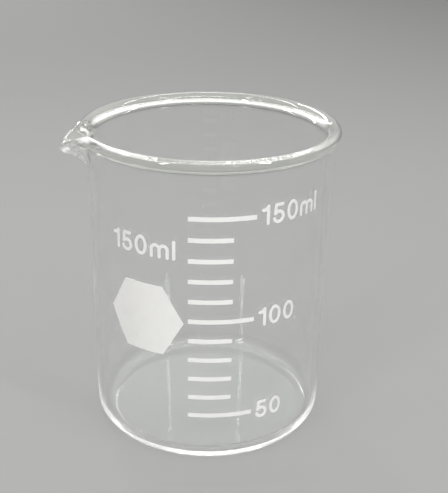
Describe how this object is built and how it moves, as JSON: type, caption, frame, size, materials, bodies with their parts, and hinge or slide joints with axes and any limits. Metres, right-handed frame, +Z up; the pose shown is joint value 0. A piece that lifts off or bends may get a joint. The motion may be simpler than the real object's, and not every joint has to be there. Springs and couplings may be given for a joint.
{
  "type": "low-form beaker",
  "caption": "Low-form glass laboratory beaker with a rolled lip, a pouring spout, a fired white volume scale and a plain write-on patch.",
  "frame": {"origin": "centre of the base, on the surface that the beaker stands on", "axes": "+Z up along the beaker's axis; the volume scale faces -Y; the pouring spout points to -X, turned 13.3 degrees towards -Y"},
  "size_m": [0.0654, 0.062, 0.0765],
  "materials": {
    "clear_glass": "clear, fire-polished",
    "white_enamel": "satin, fired on"
  },
  "bodies": {
    "root": {"glass_body": "clear_glass", "graduation_050": "white_enamel", "graduation_060": "white_enamel", "graduation_070": "white_enamel", "graduation_080": "white_enamel", "graduation_090": "white_enamel", "graduation_100": "white_enamel", "graduation_110": "white_enamel", "graduation_120": "white_enamel", "graduation_130": "white_enamel", "graduation_140": "white_enamel", "graduation_150": "white_enamel", "numeral_050": "white_enamel", "numeral_100": "white_enamel", "numeral_150": "white_enamel", "capacity_label": "white_enamel", "marking_patch": "white_enamel"}
  },
  "joints": []
}
